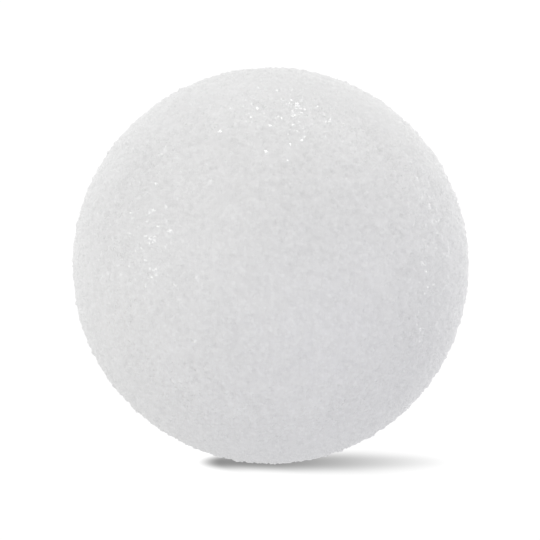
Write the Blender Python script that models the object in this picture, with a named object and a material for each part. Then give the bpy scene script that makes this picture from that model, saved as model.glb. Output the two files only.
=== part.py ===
"""Polystyrene foam craft ball, 1.8 in across, in metres with +Z up and the origin at its centre.

The real ball is one piece: a cube of white extruded polystyrene, ground to a sphere. The grinder
cuts the foam's cells open, so the skin is a shallow grit of pits below the sphere that just
encloses the ball. It has no flat, hole or seam.
"""

import bmesh
import bpy
from mathutils import noise

INCH = 0.0254

# Overall size
BALL_DIAMETER = 1.8 * INCH

# Ground skin, a sphere of even facets whose points lie at the depth of the cells opened there
CUT_DEPTH = 0.00014  # deepest pits below the enclosing sphere
CUT_SPAN = 0.0009  # width of the group of cells that was opened to one depth
ICOSPHERE_LEVEL = 3  # gives 320 even faces to start from
FACETS_PER_EDGE = 5  # facets along each edge of those faces

# White foam
FOAM_COLOUR = (0.83, 0.83, 0.84, 1.0)  # linear
FOAM_ROUGHNESS = 0.8
FOAM_METALLIC = 0.0


def clear_scene():
    for old in list(bpy.data.objects):
        bpy.data.objects.remove(old)


def foam_material():
    material = bpy.data.materials.new("white_polystyrene_foam")
    material.use_nodes = True
    shader = material.node_tree.nodes["Principled BSDF"]
    shader.inputs["Base Color"].default_value = FOAM_COLOUR
    shader.inputs["Roughness"].default_value = FOAM_ROUGHNESS
    shader.inputs["Metallic"].default_value = FOAM_METALLIC
    return material


def pit_depth(place):
    """How far the skin lies below the enclosing sphere here. Most pits are shallow, a few deep."""
    share = 0.5 + 0.5 * noise.cell(place / CUT_SPAN)
    return CUT_DEPTH * share**2


def ground_sphere(radius):
    """Closed mesh of a sphere of this radius, with its skin ground into pits."""
    shape = bmesh.new()
    bmesh.ops.create_icosphere(shape, subdivisions=ICOSPHERE_LEVEL, radius=radius)
    bmesh.ops.subdivide_edges(
        shape,
        edges=shape.edges,
        cuts=FACETS_PER_EDGE - 1,
        use_grid_fill=True,
    )
    for point in shape.verts:
        outwards = point.co.normalized()
        point.co = outwards * (radius - pit_depth(outwards * radius))
    bmesh.ops.triangulate(shape, faces=shape.faces)
    mesh = bpy.data.meshes.new("ground_sphere")
    shape.to_mesh(mesh)
    shape.free()
    return mesh


def foam_ball():
    """The whole ball, one solid about the origin."""
    mesh = ground_sphere(BALL_DIAMETER / 2)
    mesh.shade_smooth()
    mesh.materials.append(foam_material())
    ball = bpy.data.objects.new("foam_ball", mesh)
    bpy.context.scene.collection.objects.link(ball)
    return ball


clear_scene()
foam_ball()
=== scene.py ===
"""Looks of the polystyrene craft ball: its ground foam skin, and the white studio it is seen in."""

import math

import bpy
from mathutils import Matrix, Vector


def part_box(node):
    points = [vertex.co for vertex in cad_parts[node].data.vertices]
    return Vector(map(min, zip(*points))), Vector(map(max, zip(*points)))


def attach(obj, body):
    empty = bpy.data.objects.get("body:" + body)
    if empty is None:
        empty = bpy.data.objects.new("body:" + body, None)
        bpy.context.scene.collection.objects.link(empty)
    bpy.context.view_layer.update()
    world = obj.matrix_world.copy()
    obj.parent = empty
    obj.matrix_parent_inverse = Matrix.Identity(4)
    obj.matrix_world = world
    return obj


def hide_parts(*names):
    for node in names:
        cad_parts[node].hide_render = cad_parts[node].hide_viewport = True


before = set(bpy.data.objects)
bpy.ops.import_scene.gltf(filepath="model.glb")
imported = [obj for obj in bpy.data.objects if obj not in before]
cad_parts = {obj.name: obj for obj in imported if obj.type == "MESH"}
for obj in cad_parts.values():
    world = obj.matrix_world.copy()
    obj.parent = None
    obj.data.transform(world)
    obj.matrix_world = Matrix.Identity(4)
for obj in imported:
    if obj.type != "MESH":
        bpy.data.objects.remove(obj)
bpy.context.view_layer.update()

# Foam ball: one solid of white extruded polystyrene foam. A cube of the foam is ground to a sphere,
# and the grinder tears its cells open, so the whole skin is a fine, sugary grit of broken cell
# walls. Light sinks into the foam and comes out again, which leaves the grit almost no shade.
MM = 0.001
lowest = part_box("foam_ball")[0]
BALL_RADIUS = -lowest.z
SPHERE_LEVEL = 3  # makes an icosphere of 320 faces
FACETS_PER_EDGE = 24  # along each edge of those faces, which makes facets 0.28 mm across
GRIT_WIDTH = 0.55 * MM  # coarser than the real cells, 0.1 to 0.3 mm wide, so that it shows in the picture
GRIT_DEPTH = 0.7 * MM  # the most there can be between a pit and a tip
GRIT_LEVEL = 0.602  # share of the depth that lies below the sphere, so half is above the solid's skin

bpy.ops.object.select_all(action="DESELECT")
bpy.ops.mesh.primitive_ico_sphere_add(subdivisions=SPHERE_LEVEL, radius=BALL_RADIUS)
skin = bpy.context.object
skin.name = "foam_skin"
bpy.ops.object.mode_set(mode="EDIT")
bpy.ops.mesh.select_all(action="SELECT")
bpy.ops.mesh.subdivide(number_cuts=FACETS_PER_EDGE - 1)
bpy.ops.object.mode_set(mode="OBJECT")

ground_round = skin.modifiers.new("ground_round", "CAST")
ground_round.cast_type = "SPHERE"
ground_round.factor = 1.0
ground_round.radius = BALL_RADIUS

cells = bpy.data.textures.new("torn_cells", "VORONOI")
cells.noise_scale = GRIT_WIDTH
grit = skin.modifiers.new("torn_cells", "DISPLACE")
grit.texture = cells
grit.texture_coords = "LOCAL"
grit.mid_level = GRIT_LEVEL
grit.strength = GRIT_DEPTH

for modifier in list(skin.modifiers):
    bpy.ops.object.modifier_apply(modifier=modifier.name)
bpy.ops.object.shade_smooth()


def linear(hex_colour):
    """Linear RGBA of an sRGB hex colour."""
    shares = [int(hex_colour[i : i + 2], 16) / 255 for i in (1, 3, 5)]
    return tuple(s / 12.92 if s <= 0.04045 else ((s + 0.055) / 1.055) ** 2.4 for s in shares) + (1.0,)


def add_node(tree, kind, inputs=(), **settings):
    """Adds a node with its settings, and gives its inputs their values or links."""
    node = tree.nodes.new(kind)
    for name, value in settings.items():
        setattr(node, name, value)
    for key, value in dict(inputs).items():
        if isinstance(value, bpy.types.NodeSocket):
            tree.links.new(value, node.inputs[key])
        else:
            node.inputs[key].default_value = value
    return node


# Ground extruded polystyrene looks milky white and matt, with soft edges to its shades, because light
# wanders through its cells. Where a glossy wall of a torn cell faces a light, it is a bright point.
FOAM_IOR = 1.59  # polystyrene
FOAM_ROUGHNESS = 0.6
LIGHT_DEPTH = 4.0 * MM  # how far light wanders through the foam
FOAM_WHITE = "#F2F2F2"
GRAIN_AND_GLINT_WHITE = "#FAFAFA"
SPECK_WIDTH = 0.34 * MM  # one cell, coarser than the real ones so that it shows in the picture
SPECK_START = 0.6  # share of the cells that have the foam's plain white
WALL_WIDTH = 0.33 * MM  # coarser than the real walls, so that a glint covers a pixel or two
WALL_TILT = 1.5  # how steeply the walls lean; most lie nearly level and few lean far
WALL_BULGE = 0.13  # how far a wall's face turns across its width, in radians
WALL_ROUGHNESS = 0.12
GLOSS_FADES = 0.4  # how far the skin is turned away where its walls start to hide each other
GLOSS_ENDS = 0.62  # how far it is turned away where no glossy wall shows any more

foam = bpy.data.materials.new("ground_extruded_polystyrene_foam")
foam.use_nodes = True
tree = foam.node_tree
shader = tree.nodes["Principled BSDF"]
shader.inputs["Roughness"].default_value = FOAM_ROUGHNESS
shader.inputs["IOR"].default_value = FOAM_IOR
shader.inputs["Specular IOR Level"].default_value = 0.0
shader.inputs["Subsurface Weight"].default_value = 1.0
shader.inputs["Subsurface Radius"].default_value = (1.0, 1.0, 1.0)
shader.inputs["Subsurface Scale"].default_value = LIGHT_DEPTH
shader.inputs["Coat Roughness"].default_value = WALL_ROUGHNESS
shader.inputs["Coat IOR"].default_value = FOAM_IOR

place = add_node(tree, "ShaderNodeTexCoord").outputs["Object"]
outwards = add_node(tree, "ShaderNodeVectorMath", {0: place}, operation="NORMALIZE").outputs[0]
tree.links.new(outwards, shader.inputs["Normal"])

walls = add_node(tree, "ShaderNodeTexVoronoi", {"Vector": place, "Scale": 1 / WALL_WIDTH})
tilt = add_node(
    tree,
    "ShaderNodeVectorMath",
    {0: walls.outputs["Color"], 1: (0.5, 0.5, 0.5)},
    operation="SUBTRACT",
)
much = add_node(tree, "ShaderNodeVectorMath", {0: tilt.outputs[0]}, operation="LENGTH")
uneven = add_node(
    tree,
    "ShaderNodeVectorMath",
    {0: tilt.outputs[0], "Scale": much.outputs["Value"]},
    operation="SCALE",
)
leaning = add_node(
    tree,
    "ShaderNodeVectorMath",
    {0: uneven.outputs[0], 1: (WALL_TILT, WALL_TILT, WALL_TILT), 2: outwards},
    operation="MULTIPLY_ADD",
)
from_middle = add_node(
    tree,
    "ShaderNodeVectorMath",
    {0: place, 1: walls.outputs["Position"]},
    operation="SUBTRACT",
)
bulge = WALL_BULGE / WALL_WIDTH
bulging = add_node(
    tree,
    "ShaderNodeVectorMath",
    {0: from_middle.outputs[0], 1: (bulge, bulge, bulge), 2: leaning.outputs[0]},
    operation="MULTIPLY_ADD",
)
facing = add_node(tree, "ShaderNodeVectorMath", {0: bulging.outputs[0]}, operation="NORMALIZE")
tree.links.new(facing.outputs[0], shader.inputs["Coat Normal"])

turned_away = add_node(tree, "ShaderNodeLayerWeight", {"Blend": 0.5, "Normal": outwards}).outputs["Facing"]
glossy = add_node(
    tree,
    "ShaderNodeMapRange",
    {"Value": turned_away, "From Min": GLOSS_FADES, "From Max": GLOSS_ENDS, "To Min": 1.0, "To Max": 0.0},
)
tree.links.new(glossy.outputs["Result"], shader.inputs["Coat Weight"])

# Paler cells in the base colour: a random grain in the foam's white that is also painted glints, dim light
# caught on cell walls.
specks = add_node(tree, "ShaderNodeTexVoronoi", {"Vector": place, "Scale": 1 / SPECK_WIDTH})
chance = add_node(tree, "ShaderNodeSeparateColor", {"Color": specks.outputs["Color"]})
bright = add_node(
    tree,
    "ShaderNodeMapRange",
    {"Value": chance.outputs["Red"], "From Min": SPECK_START, "From Max": 1.0, "To Min": 0.0, "To Max": 1.0},
)
tone = add_node(
    tree,
    "ShaderNodeMix",
    {0: bright.outputs["Result"], "A": linear(FOAM_WHITE), "B": linear(GRAIN_AND_GLINT_WHITE)},
    data_type="RGBA",
)
tree.links.new(tone.outputs["Result"], shader.inputs["Base Color"])
skin.data.materials.append(foam)

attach(skin, "root")
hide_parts("foam_ball")

# Studio: a tent of white cloth, brightest in front, above and at the left. The overhead and left lights
# put the glints on the foam, and the two back lights lighten its edges. The overhead box and the upper
# right light even out its top, and the fill light cools its lower right.
WHITE_OUT = 1.05  # what the camera sees of the cloth and the floor, a little past white
CLOTH = 0.716  # how brightly the cloth lights the ball on average
CLOTH_LEAN = (-0.067, -0.136, 0.046)  # how much brighter it is at the right, behind and above

world = bpy.data.worlds.new("white_tent")
bpy.context.scene.world = world
world.use_nodes = True
tree = world.node_tree
tree.nodes.clear()
direction = add_node(tree, "ShaderNodeTexCoord").outputs["Generated"]
side = add_node(tree, "ShaderNodeVectorMath", {0: direction, 1: CLOTH_LEAN}, operation="DOT_PRODUCT")
cloth = add_node(tree, "ShaderNodeMath", {0: side.outputs["Value"], 1: CLOTH}, operation="ADD")
white = linear("#FFFFFF")
lighting = add_node(tree, "ShaderNodeBackground", {"Color": white, "Strength": cloth.outputs[0]})
seen = add_node(tree, "ShaderNodeBackground", {"Color": white, "Strength": WHITE_OUT})
to_camera = add_node(tree, "ShaderNodeLightPath").outputs["Is Camera Ray"]
both = add_node(tree, "ShaderNodeMixShader", {0: to_camera, 1: lighting.outputs[0], 2: seen.outputs[0]})
add_node(tree, "ShaderNodeOutputWorld", {"Surface": both.outputs[0]})


def soft_light(name, towards, distance, size, radiance, colour="#FFFFFF"):
    """Round soft light that shines at the ball from a direction, with this brightness."""
    data = bpy.data.lights.new(name, "AREA")
    data.color = linear(colour)[:3]
    data.shape = "DISK"
    data.size = size
    area = math.pi * (size / 2) ** 2
    data.energy = radiance * math.pi * area
    lamp = bpy.data.objects.new(name, data)
    bpy.context.scene.collection.objects.link(lamp)
    lamp.location = Vector(towards).normalized() * distance
    lamp.rotation_mode = "QUATERNION"
    lamp.rotation_quaternion = lamp.location.to_track_quat("Z", "Y")
    lamp.visible_camera = False


# Each direction says how far the light stands to the right, away from the camera, and up.
soft_light("overhead_light", (0.12, 0.21, 0.97), distance=0.5, size=0.1, radiance=6.0)
soft_light("overhead_box", (0.12, 0.12, 0.98), distance=0.6, size=0.6, radiance=0.08)
soft_light("left_light", (-0.91, -0.34, 0.22), distance=0.5, size=0.13, radiance=3.6)
soft_light("upper_right_light", (0.60, 0.00, 0.70), distance=0.6, size=0.6, radiance=0.35)
soft_light("right_back_light", (0.60, 0.80, 0.00), distance=0.5, size=0.4, radiance=1.75)
soft_light("left_back_light", (-0.60, 0.80, 0.10), distance=0.5, size=0.4, radiance=0.87)
soft_light("fill_light", (0.55, -0.60, -0.58), distance=0.5, size=0.4, radiance=0.3, colour="#C8C8FF")

# Floor: a wide sheet of white paper that glows a little past white and gives the ball no light or shade.
# The ball's soft shadow is painted into its glow: it starts a little to the left of where the ball rests,
# is darkest there, and fades and narrows to a point at the right.
FLOOR_WIDTH = 8.0
FLOOR_DROP = 0.1 * MM  # how far below the solid it lies, where only the lowest tips of grit reach
SHADE_LEFT = -8.8 * MM  # where the shade starts
SHADE_EDGE = 3.0 * MM  # how soft that end is
SHADE_DARKEST = 0.5 * MM  # where it starts to fade
SHADE_RIGHT = 21.3 * MM  # where it ends
SHADE_LEVEL = 0.45  # how dark it is at most, before SHADE_CONTRAST
SHADE_CONTRAST = 2.2
SHADE_BACK = 1.0 * MM  # how far its middle line lies behind the ball's
SHADE_CURL = 0.02 / MM  # how much its left end curls round to the right at the sides
SHADE_REACH = 11.4 * MM  # half its breadth, before the next four values
SHADE_NARROW = -4 * MM  # to the left of this it is narrowest
SHADE_NARROWEST = 0.48  # square of the share of its breadth that is left there
SHADE_BROAD = 8 * MM  # to the right of this it narrows only as it fades
SHADE_TAPER = 0.66  # how much it narrows as it fades, from 0 for not at all
SHADE_STEEPNESS = 1.2  # how steeply its sides fall away, where 1 is a bell curve

bpy.ops.mesh.primitive_plane_add(size=FLOOR_WIDTH, location=(0, 0, lowest.z - FLOOR_DROP))
floor = bpy.context.object
floor.name = "floor"
bpy.ops.object.transform_apply(location=True, rotation=False, scale=False)

paper = bpy.data.materials.new("white_paper_painted_shade")
paper.use_nodes = True
tree = paper.node_tree
tree.nodes.clear()
place = add_node(tree, "ShaderNodeTexCoord").outputs["Object"]
spot = add_node(tree, "ShaderNodeSeparateXYZ", {"Vector": place})
behind = add_node(
    tree,
    "ShaderNodeMath",
    {0: spot.outputs["Y"], 1: SHADE_BACK},
    operation="SUBTRACT",
).outputs[0]
squared = add_node(tree, "ShaderNodeMath", {0: behind, 1: behind}, operation="MULTIPLY").outputs[0]
curled = add_node(
    tree,
    "ShaderNodeMath",
    {0: squared, 1: -SHADE_CURL, 2: spot.outputs["X"]},
    operation="MULTIPLY_ADD",
).outputs[0]

left_end = add_node(
    tree,
    "ShaderNodeMapRange",
    {
        "Value": curled,
        "From Min": SHADE_LEFT,
        "From Max": SHADE_LEFT + SHADE_EDGE,
        "To Min": 0.0,
        "To Max": SHADE_LEVEL,
    },
    interpolation_type="SMOOTHSTEP",
).outputs[0]
fading = add_node(
    tree,
    "ShaderNodeMapRange",
    {"Value": curled, "From Min": SHADE_DARKEST, "From Max": SHADE_RIGHT, "To Min": 1.0, "To Max": 0.0},
).outputs[0]
along = add_node(tree, "ShaderNodeMath", {0: left_end, 1: fading}, operation="MULTIPLY").outputs[0]

narrowing = add_node(tree, "ShaderNodeMath", {0: fading, 1: SHADE_TAPER}, operation="POWER").outputs[0]
widening = add_node(
    tree,
    "ShaderNodeMapRange",
    {
        "Value": curled,
        "From Min": SHADE_NARROW,
        "From Max": SHADE_BROAD,
        "To Min": SHADE_NARROWEST,
        "To Max": 1.0,
    },
).outputs[0]
breadth = add_node(tree, "ShaderNodeMath", {0: narrowing, 1: widening}, operation="MULTIPLY").outputs[0]
apart = add_node(
    tree,
    "ShaderNodeMath",
    {0: squared, 1: 1 / SHADE_REACH**2},
    operation="MULTIPLY",
).outputs[0]
further = add_node(tree, "ShaderNodeMath", {0: apart, 1: breadth}, operation="DIVIDE").outputs[0]
steep = add_node(tree, "ShaderNodeMath", {0: further, 1: SHADE_STEEPNESS}, operation="POWER").outputs[0]
thinning = add_node(tree, "ShaderNodeMath", {0: 1 / math.e, 1: steep}, operation="POWER").outputs[0]

# The painted shadow: how much of the paper's glow it takes away.
shade = add_node(tree, "ShaderNodeMath", {0: along, 1: thinning}, operation="MULTIPLY").outputs[0]
lightness = add_node(tree, "ShaderNodeMath", {0: 1.0, 1: shade}, operation="SUBTRACT").outputs[0]
light = add_node(tree, "ShaderNodeMath", {0: lightness, 1: SHADE_CONTRAST}, operation="POWER").outputs[0]
strength = add_node(tree, "ShaderNodeMath", {0: light, 1: WHITE_OUT}, operation="MULTIPLY").outputs[0]
glow = add_node(tree, "ShaderNodeEmission", {"Strength": strength})
add_node(tree, "ShaderNodeOutputMaterial", {"Surface": glow.outputs[0]})
floor.data.materials.append(paper)
floor.visible_diffuse = False
floor.visible_glossy = False
floor.visible_transmission = False
floor.visible_shadow = False

# Camera: a long lens a third of a metre away, level with the upper half of the ball, as for a
# catalogue picture. A small shift puts the ball where it lies in the picture.
FOCAL = 200.0
SENSOR = 36.0
IMAGE = 540  # width and height of the picture in pixels
BALL_PIXELS = 197.3  # radius of the ball in the picture
BALL_CENTRE = (270.6, 265.5)  # its centre, from the picture's top left corner
ELEVATION = math.radians(2)
NEAREST = 0.01
FURTHEST = 10

camera_data = bpy.data.cameras.new("camera")
camera_data.lens = FOCAL
camera_data.sensor_width = SENSOR
camera_data.shift_x = (IMAGE / 2 - BALL_CENTRE[0]) / IMAGE
camera_data.shift_y = (BALL_CENTRE[1] - IMAGE / 2) / IMAGE
camera_data.clip_start = NEAREST
camera_data.clip_end = FURTHEST
camera = bpy.data.objects.new("camera", camera_data)
bpy.context.scene.collection.objects.link(camera)
distance = BALL_RADIUS / math.sin(math.atan(BALL_PIXELS / (FOCAL / SENSOR * IMAGE)))
camera.location = (0, -distance * math.cos(ELEVATION), distance * math.sin(ELEVATION))
camera.rotation_euler = (math.radians(90) - ELEVATION, 0, 0)
bpy.context.scene.camera = camera

bpy.context.scene.view_settings.view_transform = "Standard"
